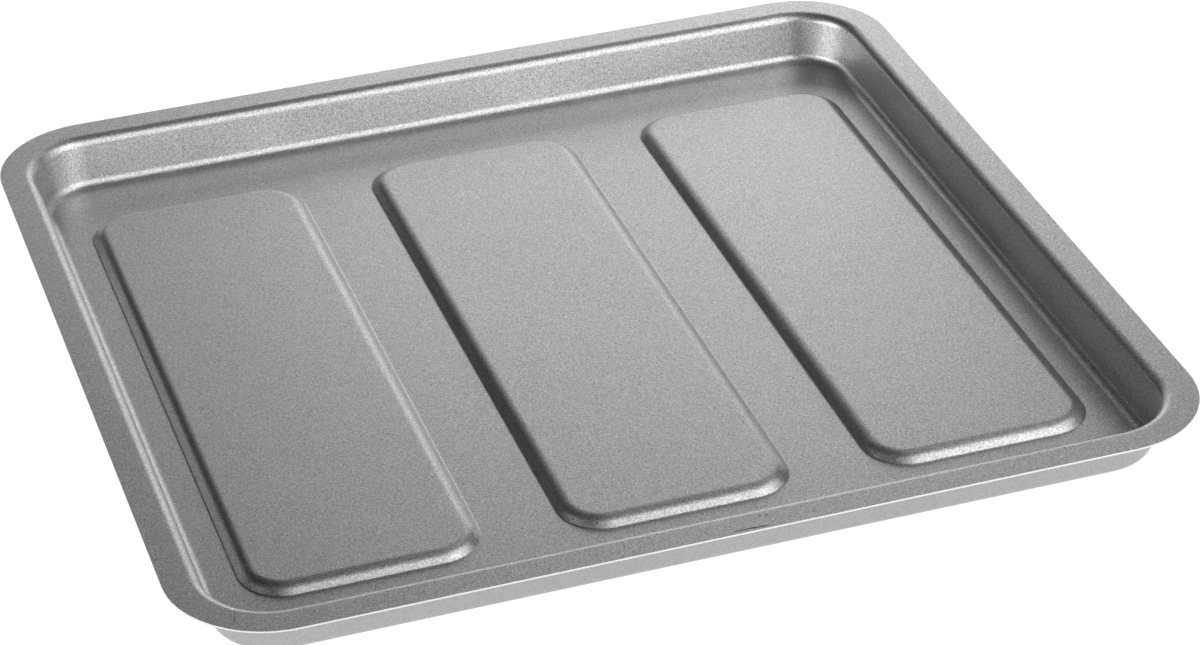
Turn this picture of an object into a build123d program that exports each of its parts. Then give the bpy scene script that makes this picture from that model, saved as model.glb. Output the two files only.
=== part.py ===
from build123d import *
import math
import os

# A baking pan for a bench-top oven: one blank of coated sheet steel, pressed in one stroke into
# a flat rim, four drafted walls and a floor with three long raised panels.
# Millimetres. The origin is under the middle of the pan, on the plane that it stands on.
# X runs across the three panels, Y along them, and Z up.

# The blank
SHEET = 0.6

# The rim, seen from above
RIM_LENGTH = 310.0
RIM_WIDTH = 302.0
RIM_CORNER = 31.5
FLANGE = 8.0

# The walls, in section: the radii are those of the upper face of the sheet
DEPTH = 16.7
WALL_DRAFT = 9.0
RIM_BEND = 3.4
FOOT_BEND = 3.2

# The raised panels: the length and width are those of the top, between its sharp edges
PANEL_COUNT = 3
PANEL_PITCH = 94.6
PANEL_LENGTH = 221.2
PANEL_WIDTH = 65.4
PANEL_CORNER = 11.0
PANEL_RISE = 2.6
PANEL_SLOPE = 42.0
PANEL_TOP_BEND = 5.2
PANEL_FOOT_BEND = 1.2

# Worked out from these
HEIGHT = DEPTH + SHEET
WALL_TOP_INSET = FLANGE + RIM_BEND * math.tan(math.radians((90 - WALL_DRAFT) / 2))
WALL_SHEET = SHEET / math.cos(math.radians(WALL_DRAFT))
PANEL_SHEET = SHEET * math.tan(math.radians(PANEL_SLOPE / 2))
TOLERANCE = 0.01


def level(shape, z):
    """The edges of a shape that lie in the plane at height z."""
    return shape.edges().filter_by_position(Axis.Z, z - TOLERANCE, z + TOLERANCE)


def inner_loop(shape, z, direction):
    """The inner edge loop of the flat face at height z that looks up (+1) or down (-1)."""
    flat = shape.faces().filter_by(Axis.Z).filter_by_position(Axis.Z, z - TOLERANCE, z + TOLERANCE)
    face = flat.filter_by(lambda f: f.normal_at().Z * direction > 0).sort_by(SortBy.AREA)[-1]
    return face.inner_wires()[0].edges()


def bowl(inset, floor, foot_radius):
    """A tapered block with rounded corners, from the rim's level down to the floor's."""
    outline = RectangleRounded(RIM_LENGTH - 2 * inset, RIM_WIDTH - 2 * inset, RIM_CORNER - inset)
    block = extrude(Plane.XY.offset(HEIGHT) * outline, amount=floor - HEIGHT, taper=WALL_DRAFT)
    return fillet(level(block, floor), foot_radius)


def panel(inset, floor, x):
    """One raised panel as a block with sloping sides, standing on the floor's level."""
    top = RectangleRounded(PANEL_WIDTH - 2 * inset, PANEL_LENGTH - 2 * inset, PANEL_CORNER - inset)
    place = Plane.XY.offset(floor + PANEL_RISE)
    return Pos(x, 0, 0) * extrude(place * top, amount=-PANEL_RISE, taper=PANEL_SLOPE - 90)


def panel_places():
    """The X of each panel's middle."""
    first = -PANEL_PITCH * (PANEL_COUNT - 1) / 2
    return [first + PANEL_PITCH * i for i in range(PANEL_COUNT)]


def panelled_bowl(wall_inset, floor, panel_inset, below):
    """The bowl with its raised panels and every bend, for the face that is so far below the upper one."""
    shape = bowl(wall_inset, floor, FOOT_BEND + below)
    for x in panel_places():
        shape = shape - panel(panel_inset, floor, x)
    shape = fillet(level(shape, floor + PANEL_RISE), PANEL_TOP_BEND - below)
    base = shape.faces().filter_by(Axis.Z).sort_by(Axis.Z)[0]
    loops = [edge for wire in base.inner_wires() for edge in wire.edges()]
    return fillet(loops, PANEL_FOOT_BEND + below)


def baking_pan():
    """The pressed sheet: the rim's plate and the outer bowl, less the inner bowl."""
    rim = RectangleRounded(RIM_LENGTH, RIM_WIDTH, RIM_CORNER)
    plate = extrude(Plane.XY.offset(HEIGHT - SHEET) * rim, amount=SHEET)
    outer = panelled_bowl(WALL_TOP_INSET - WALL_SHEET, 0, PANEL_SHEET, SHEET)
    inner = panelled_bowl(WALL_TOP_INSET, SHEET, 0, 0)
    pan = plate + outer - inner
    pan = fillet(inner_loop(pan, HEIGHT, 1), RIM_BEND)
    return fillet(inner_loop(pan, HEIGHT - SHEET, -1), RIM_BEND - SHEET)


os.makedirs("parts", exist_ok=True)
part = baking_pan()
export_step(part, "parts/baking_pan.step")
print("baking_pan", part.volume, part.bounding_box().size)
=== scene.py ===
import math

import bmesh
import bpy
from mathutils import Matrix, Vector


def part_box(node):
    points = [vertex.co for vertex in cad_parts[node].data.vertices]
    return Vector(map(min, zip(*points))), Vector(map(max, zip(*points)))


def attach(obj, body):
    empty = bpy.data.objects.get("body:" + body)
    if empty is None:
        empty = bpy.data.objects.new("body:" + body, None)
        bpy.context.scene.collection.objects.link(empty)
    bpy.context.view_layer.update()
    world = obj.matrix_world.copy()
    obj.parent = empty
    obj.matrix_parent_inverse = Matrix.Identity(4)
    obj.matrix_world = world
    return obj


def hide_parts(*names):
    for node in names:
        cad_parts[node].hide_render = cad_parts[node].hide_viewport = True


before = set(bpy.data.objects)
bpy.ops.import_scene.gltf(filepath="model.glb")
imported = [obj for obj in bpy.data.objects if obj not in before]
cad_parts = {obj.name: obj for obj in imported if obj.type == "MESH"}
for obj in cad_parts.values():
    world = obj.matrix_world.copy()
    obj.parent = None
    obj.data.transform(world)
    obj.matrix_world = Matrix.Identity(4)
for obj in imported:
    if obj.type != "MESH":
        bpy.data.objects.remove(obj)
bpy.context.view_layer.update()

# A pressed baking pan on a pale studio table. Metres, in the frame of the CAD model: X across
# the raised panels, Y along them, Z up, and the table's top just under the pan's lowest face.
MM = 0.001
PAN_LOW, PAN_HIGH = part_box("baking_pan")

# The pan in section, as its maker would give it: bend radii are those of the upper face
SHEET = 0.6 * MM
RIM_CORNER = 31.5 * MM
FLANGE = 8 * MM
RIM_BEND = 3.4 * MM
FOOT_BEND = 3.2 * MM
WALL_DRAFT = math.radians(9)
PANEL_COUNT = 3
PANEL_PITCH = 94.6 * MM
PANEL_LENGTH = 221.2 * MM
PANEL_WIDTH = 65.4 * MM
PANEL_CORNER = 11 * MM
PANEL_RISE = 2.6 * MM
PANEL_SLOPE = math.radians(42)
PANEL_TOP_BEND = 5.2 * MM
PANEL_FOOT_BEND = 1.2 * MM
CUT_EDGE_ROUND = 0.09 * MM

# How finely the mesh follows it
CORNER_STEPS = 18
BEND_STEPS = 12
PANEL_CORNER_STEPS = 14
PANEL_BEND_STEPS = 8
FLAT_MARGIN = 0.35 * MM

# The coating: how large its features are
GRAIN = 0.55 * MM
FLAKE = 0.28 * MM
CLOUD = 28 * MM
SHEAR_MARK = 0.5 * MM

# The studio: angles in degrees, and the camera's offsets in lengths of the rim
TABLE_SIZE = 3.0
TABLE_GAP = 0.05 * MM
STRIP_DISTANCE = 1.1
BOX_DISTANCE = 2.0
CAMERA_AZIMUTH = -17.408
CAMERA_ELEVATION = 31.706
CAMERA_ROLL = -1.717
CAMERA_DISTANCE = 3.7199
CAMERA_ASIDE = 0.0345
CAMERA_ABOVE = -0.0489
LENS = 111.24


# ---------------------------------------------------------------- the pressed sheet

def rounded_face(sheet, length, width, corner, steps, centre):
    """A flat face with rounded corners: a one-cell grid whose four corners are bevelled."""
    place = Matrix.Translation(centre) @ Matrix.Diagonal((length / 2, width / 2, 1, 1))
    before = set(sheet.faces)
    made = bmesh.ops.create_grid(sheet, x_segments=1, y_segments=1, size=1, matrix=place)
    bmesh.ops.bevel(sheet, geom=made["verts"], offset=corner, offset_type="OFFSET", segments=steps,
                    profile=0.5, affect="VERTICES", material=-1)
    return next(face for face in sheet.faces if face not in before)


def step_in(sheet, face, inset, lift):
    """One ring of the pressing: the face shrinks by inset and moves up by lift."""
    bmesh.ops.inset_region(sheet, faces=[face], thickness=inset, depth=lift,
                           use_boundary=True, use_even_offset=True)


def bend(sheet, face, radius, start, end, steps, way):
    """A bend between two slopes, both measured from level; way is 1 uphill and -1 downhill."""
    turn = 1 if end > start else -1
    for i in range(steps):
        a = start + (end - start) * i / steps
        b = start + (end - start) * (i + 1) / steps
        inset = turn * radius * (math.sin(b) - math.sin(a))
        lift = turn * radius * (math.cos(a) - math.cos(b))
        step_in(sheet, face, inset, way * lift)


def press_bowl(sheet, rim_size, height):
    """The rim, the walls and the foot, ring by ring, down to the level floor."""
    face = rounded_face(sheet, rim_size.x, rim_size.y, RIM_CORNER, CORNER_STEPS, Vector((0, 0, height)))
    steep = math.pi / 2 - WALL_DRAFT
    straight = height - SHEET - (RIM_BEND + FOOT_BEND) * (1 - math.cos(steep))
    step_in(sheet, face, FLAT_MARGIN, 0)
    step_in(sheet, face, FLANGE - 2 * FLAT_MARGIN, 0)
    step_in(sheet, face, FLAT_MARGIN, 0)
    bend(sheet, face, RIM_BEND, 0, steep, BEND_STEPS, -1)
    step_in(sheet, face, straight * math.tan(WALL_DRAFT), -straight)
    bend(sheet, face, FOOT_BEND, steep, 0, BEND_STEPS, -1)
    step_in(sheet, face, FLAT_MARGIN, 0)
    return face


def press_panel(sheet, x):
    """One raised panel, from the level floor up to its level top."""
    reach = PANEL_RISE / math.tan(PANEL_SLOPE) + PANEL_FOOT_BEND * math.tan(PANEL_SLOPE / 2) + FLAT_MARGIN
    face = rounded_face(sheet, PANEL_WIDTH + 2 * reach, PANEL_LENGTH + 2 * reach, PANEL_CORNER + reach,
                        PANEL_CORNER_STEPS, Vector((x, 0, SHEET)))
    straight = PANEL_RISE - (PANEL_TOP_BEND + PANEL_FOOT_BEND) * (1 - math.cos(PANEL_SLOPE))
    step_in(sheet, face, FLAT_MARGIN, 0)
    bend(sheet, face, PANEL_FOOT_BEND, 0, PANEL_SLOPE, PANEL_BEND_STEPS, 1)
    step_in(sheet, face, straight / math.tan(PANEL_SLOPE), straight)
    bend(sheet, face, PANEL_TOP_BEND, PANEL_SLOPE, 0, PANEL_BEND_STEPS, 1)
    step_in(sheet, face, FLAT_MARGIN, 0)


def upper_face(rim_size, height):
    """The upper face of the whole pan as one open sheet of mesh."""
    sheet = bmesh.new()
    floor = press_bowl(sheet, rim_size, height)
    bmesh.ops.delete(sheet, geom=[floor], context="FACES_ONLY")
    for i in range(PANEL_COUNT):
        press_panel(sheet, PANEL_PITCH * (i - (PANEL_COUNT - 1) / 2))
    gap = [edge for edge in sheet.edges if edge.is_boundary and edge.verts[0].co.z < height / 2]
    bmesh.ops.triangle_fill(sheet, edges=gap, normal=(0, 0, 1), use_beauty=True)
    bmesh.ops.recalc_face_normals(sheet, faces=sheet.faces)
    if sum(face.normal.z * face.calc_area() for face in sheet.faces) < 0:
        bmesh.ops.reverse_faces(sheet, faces=sheet.faces)
    return sheet


def pressed_pan(coating, bare_steel, painted_shade_outer_coating):
    """The pan: the upper face given the sheet's thickness, its cut edge barely rounded."""
    sheet = upper_face(PAN_HIGH - PAN_LOW, PAN_HIGH.z)
    mesh = bpy.data.meshes.new("pressed_pan")
    sheet.to_mesh(mesh)
    sheet.free()
    for polygon in mesh.polygons:
        polygon.use_smooth = True
    mesh.materials.append(coating)
    mesh.materials.append(bare_steel)
    mesh.materials.append(painted_shade_outer_coating)
    pan = bpy.data.objects.new("pressed_pan", mesh)
    bpy.context.scene.collection.objects.link(pan)
    wall = pan.modifiers.new("sheet thickness", "SOLIDIFY")
    wall.thickness = SHEET
    wall.offset = -1
    wall.use_even_offset = True
    wall.use_quality_normals = True
    wall.material_offset_rim = 1
    # The lower face gets the outer coat: the same coating painted darker, as painted shade on the pan's
    # outside.
    wall.material_offset = 2
    edge = pan.modifiers.new("cut edge", "BEVEL")
    edge.width = CUT_EDGE_ROUND
    edge.segments = 2
    edge.limit_method = "ANGLE"
    edge.angle_limit = math.radians(60)
    edge.harden_normals = True
    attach(pan, "root")
    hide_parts("baking_pan")


# ---------------------------------------------------------------- materials

class Value:
    """A number at every point of a surface. Arithmetic on values adds Math nodes."""

    def __init__(self, paint, socket):
        self.paint = paint
        self.socket = socket

    def math(self, operation, *others):
        return self.paint.node("ShaderNodeMath", {"operation": operation}, (self, *others))

    def __add__(self, other):
        return self.math("ADD", other)

    def __radd__(self, other):
        return self.paint.node("ShaderNodeMath", {"operation": "ADD"}, (other, self))

    def __sub__(self, other):
        return self.math("SUBTRACT", other)

    def __rsub__(self, other):
        return self.paint.node("ShaderNodeMath", {"operation": "SUBTRACT"}, (other, self))

    def __mul__(self, other):
        return self.math("MULTIPLY", other)

    def __rmul__(self, other):
        return self.paint.node("ShaderNodeMath", {"operation": "MULTIPLY"}, (other, self))


class Paint:
    """The node tree of one material."""

    def __init__(self, name):
        self.material = bpy.data.materials.new(name)
        self.material.use_nodes = True
        self.tree = self.material.node_tree
        self.shader = self.tree.nodes["Principled BSDF"]

    def set(self, socket, value):
        if isinstance(value, Value):
            self.tree.links.new(value.socket, socket)
        else:
            socket.default_value = value

    def node(self, kind, settings, inputs, output=0):
        """A node of that type, its settings set first, then its sockets, by place or by name."""
        made = self.tree.nodes.new(kind)
        for name, value in settings.items():
            setattr(made, name, value)
        pairs = inputs.items() if isinstance(inputs, dict) else enumerate(inputs)
        for key, value in pairs:
            self.set(made.inputs[key], value)
        return Value(self, made.outputs[output])

    def place(self):
        return self.node("ShaderNodeTexCoord", {}, (), "Object")

    def skew_place(self):
        """Object coordinates turned askew, so that no flat face lies along the grid of a noise."""
        turn = {"Vector": self.place(), "Rotation": (0.5, 0.3, 0.7)}
        return self.node("ShaderNodeMapping", {}, turn)

    def noise(self, place, size, detail, roughness):
        """Noise from 0 to 1, with features of about that size in metres."""
        inputs = {"Vector": place, "Scale": 1 / size, "Detail": detail, "Roughness": roughness}
        return self.node("ShaderNodeTexNoise", {}, inputs)

    def ramp(self, value, low, high, to_low=0.0, to_high=1.0):
        """A smooth step from to_low to to_high, as value goes from low to high."""
        inputs = {"Value": value, "From Min": low, "From Max": high, "To Min": to_low, "To Max": to_high}
        return self.node("ShaderNodeMapRange", {"interpolation_type": "SMOOTHSTEP"}, inputs)

    def mark(self, place, middle, reach, turn):
        """1 in the middle of an ellipsoid and 0 outside it: its middle and reach are in millimetres
        and its turn in degrees about Z."""
        inputs = {"Vector": place, "Location": [v * MM for v in middle], "Scale": [v * MM for v in reach],
                  "Rotation": (0, 0, math.radians(turn))}
        inside = self.node("ShaderNodeMapping", {"vector_type": "TEXTURE"}, inputs)
        away = self.node("ShaderNodeVectorMath", {"operation": "LENGTH"}, (inside,), output=1)
        return self.ramp(away, 0.6, 1.0, 1.0, 0.0)

    def grey(self, value):
        return self.node("ShaderNodeCombineColor", {}, (value, value, value))

    def finish(self, **inputs):
        for name, value in inputs.items():
            self.set(self.shader.inputs[name.replace("_", " ").title()], value)
        return self.material


def scratches(paint, grain):
    """Fine dark marks: a broken scratch on the front rim, and a crease and some specks on the rim."""
    place = paint.place()
    rim = PAN_HIGH.z / MM
    broken = paint.ramp(grain, 0.36, 0.46)
    marks = paint.mark(place, (4.0, -149.5, rim), (4.2, 0.28, 0.4), 1) * broken
    dark_marks = [
        ((8.6, -149.75, rim), (3.8, 0.26, 0.4), -2),
        ((12.3, -145.0, rim), (0.6, 0.3, 0.4), 20),
        ((10.4, -144.7, rim), (0.5, 0.25, 0.4), -10),
        ((-131.4, 142.0, rim), (0.5, 0.35, 0.4), 0),
        ((-130.2, 142.4, rim), (0.4, 0.3, 0.4), 0),
    ]
    faint_marks = [
        ((-128.7, 142.7, rim), (0.5, 0.25, 0.4), 0),
        ((-127.3, 143.0, rim), (0.5, 0.25, 0.4), 0),
        ((-139.5, -140.6, rim), (3.4, 0.22, 0.4), 75),
    ]
    for middle, reach, turn in dark_marks:
        marks = marks + paint.mark(place, middle, reach, turn)
    for middle, reach, turn in faint_marks:
        marks = marks + paint.mark(place, middle, reach, turn) * 0.6
    return marks


def chip(paint):
    """A small bright chip in the coating."""
    return paint.mark(paint.place(), (-139.1, -136.4, PAN_HIGH.z / MM), (0.5, 0.5, 1), 0)


def non_stick_coating(name, shade, grit):
    """Grey non-stick coating with fine metallic flake, sprayed on and baked: semi-gloss, grainy.
    The grit is 1 where the coat is coarse, and less where it is smoother."""
    paint = Paint(name)
    place = paint.skew_place()
    grain = paint.noise(place, GRAIN, 3.0, 0.6)
    flake = paint.noise(place, FLAKE, 1.0, 0.5)
    cloud = paint.noise(place, CLOUD, 3.0, 0.5)
    tone = shade + (grain - 0.5) * (1.05 * grit) + (flake - 0.5) * (0.7 * grit) + (cloud - 0.5) * 0.05
    tone = tone * (1 - scratches(paint, grain) * 0.92) + chip(paint) * 0.35
    rough = 0.39 + (grain - 0.5) * 0.15 + (cloud - 0.5) * 0.05
    bumps = {"Strength": 0.35, "Distance": 0.012 * MM, "Height": grain + flake * 0.4}
    normal = paint.node("ShaderNodeBump", {}, bumps)
    paint.shader.inputs["Metallic"].default_value = 0.96
    return paint.finish(base_color=paint.grey(tone), roughness=rough, normal=normal)


def bare_steel_edge():
    """The sheared edge of the blank: bright bare steel, with fine vertical shear marks."""
    paint = Paint("bare cut steel")
    place = paint.place()
    marks = paint.noise(place, SHEAR_MARK, 2.0, 0.6)
    tone = 0.80 + (marks - 0.5) * 0.25
    rough = 0.34 + (marks - 0.5) * 0.2
    paint.shader.inputs["Metallic"].default_value = 1.0
    return paint.finish(base_color=paint.grey(tone), roughness=rough)


def lit_table():
    """A white table that glows evenly, bright enough to drown every shadow on it."""
    paint = Paint("lit white table")
    sockets = paint.shader.inputs
    sockets["Base Color"].default_value = (0.1, 0.1, 0.1, 1)
    sockets["Roughness"].default_value = 0.6
    sockets["Specular IOR Level"].default_value = 0.0
    sockets["Emission Color"].default_value = (1, 1, 1, 1)
    sockets["Emission Strength"].default_value = 1.0
    return paint.finish()


# ---------------------------------------------------------------- the studio

def studio_table():
    table = bmesh.new()
    bmesh.ops.create_grid(table, x_segments=1, y_segments=1, size=TABLE_SIZE,
                          matrix=Matrix.Translation((0, 0, -TABLE_GAP)))
    mesh = bpy.data.meshes.new("table")
    table.to_mesh(mesh)
    table.free()
    mesh.materials.append(lit_table())
    top = bpy.data.objects.new("table", mesh)
    bpy.context.scene.collection.objects.link(top)


def softbox(name, azimuth, elevation, distance, width, height, power):
    """A softbox that faces the pan. Azimuth 0 is behind the pan, 90 to its right, and the width
    and height are the angles that it fills, all in degrees. The power is in watts."""
    a, e = math.radians(azimuth), math.radians(elevation)
    away = Vector((math.sin(a) * math.cos(e), math.cos(a) * math.cos(e), math.sin(e)))
    light = bpy.data.lights.new(name, "AREA")
    light.shape = "RECTANGLE"
    light.size = 2 * distance * math.tan(math.radians(width / 2))
    light.size_y = 2 * distance * math.tan(math.radians(height / 2))
    light.energy = power
    lamp = bpy.data.objects.new(name, light)
    lamp.location = away * distance
    lamp.rotation_euler = away.to_track_quat("Z", "Y").to_euler()
    bpy.context.scene.collection.objects.link(lamp)


def studio_light():
    """Large softboxes in front, to both sides and above, and dim tall strips close behind the pan."""
    softbox("back strip, left", 2, 19, STRIP_DISTANCE, 17, 30, 0.5)
    softbox("back strip, middle", 18, 19, STRIP_DISTANCE, 17, 30, 0.9)
    softbox("back strip, right", 34, 19, STRIP_DISTANCE, 17, 30, 0.74)
    softbox("back strip, far right", 52, 9, STRIP_DISTANCE, 17, 10, 0.36)
    softbox("back high softbox", 30, 44, BOX_DISTANCE, 40, 18, 0.75)
    softbox("front low softbox", 154, 14, BOX_DISTANCE, 40, 26, 11)
    softbox("front middle softbox", 158, 36, BOX_DISTANCE, 44, 20, 7.5)
    softbox("front high softbox", 158, 56, BOX_DISTANCE, 56, 20, 5.5)
    softbox("left front softbox", -134, 13, BOX_DISTANCE, 40, 26, 6.5)
    softbox("left low softbox", -98, 12, BOX_DISTANCE, 34, 24, 16.5)
    softbox("left middle softbox", -100, 34, BOX_DISTANCE, 34, 20, 2.3)
    softbox("front right softbox", 118, 18, BOX_DISTANCE, 44, 34, 7.5)
    softbox("front right high softbox", 118, 48, BOX_DISTANCE, 50, 26, 7.5)
    softbox("top right softbox", 75, 62, BOX_DISTANCE, 60, 24, 2.4)
    room = bpy.data.worlds.new("dark room")
    room.use_nodes = True
    room.node_tree.nodes["Background"].inputs["Strength"].default_value = 0.0
    bpy.context.scene.world = room


def camera():
    """The camera stands in front of the pan, a little to its left, and looks down on it."""
    azimuth = math.radians(CAMERA_AZIMUTH)
    elevation = math.radians(CAMERA_ELEVATION)
    roll = math.radians(CAMERA_ROLL)
    rim_length = PAN_HIGH.x - PAN_LOW.x
    rim_middle = Vector((0, 0, PAN_HIGH.z))
    back = Vector((math.sin(azimuth) * math.cos(elevation), -math.cos(azimuth) * math.cos(elevation),
                   math.sin(elevation)))
    right = Vector((math.cos(azimuth), math.sin(azimuth), 0))
    up = back.cross(right)
    right, up = (math.cos(roll) * right + math.sin(roll) * up, math.cos(roll) * up - math.sin(roll) * right)
    lens = bpy.data.cameras.new("camera")
    lens.sensor_width = 36
    lens.lens = LENS
    eye = bpy.data.objects.new("camera", lens)
    offset = back * CAMERA_DISTANCE + right * CAMERA_ASIDE + up * CAMERA_ABOVE
    place = rim_middle + offset * rim_length
    turn = Matrix((right, up, back)).transposed().to_4x4()
    eye.matrix_world = Matrix.Translation(place) @ turn
    bpy.context.scene.collection.objects.link(eye)
    bpy.context.scene.camera = eye


camera()
# The outer coat is the same coating painted darker: painted shade for the pan's outside, which the glowing
# table would light too brightly. Its grain is also finer.
pressed_pan(non_stick_coating("grey non-stick coating", 0.50, 1), bare_steel_edge(),
            non_stick_coating("outer coat, darker as painted shade", 0.42, 0.3))
studio_table()
studio_light()
bpy.context.scene.view_settings.view_transform = "Standard"
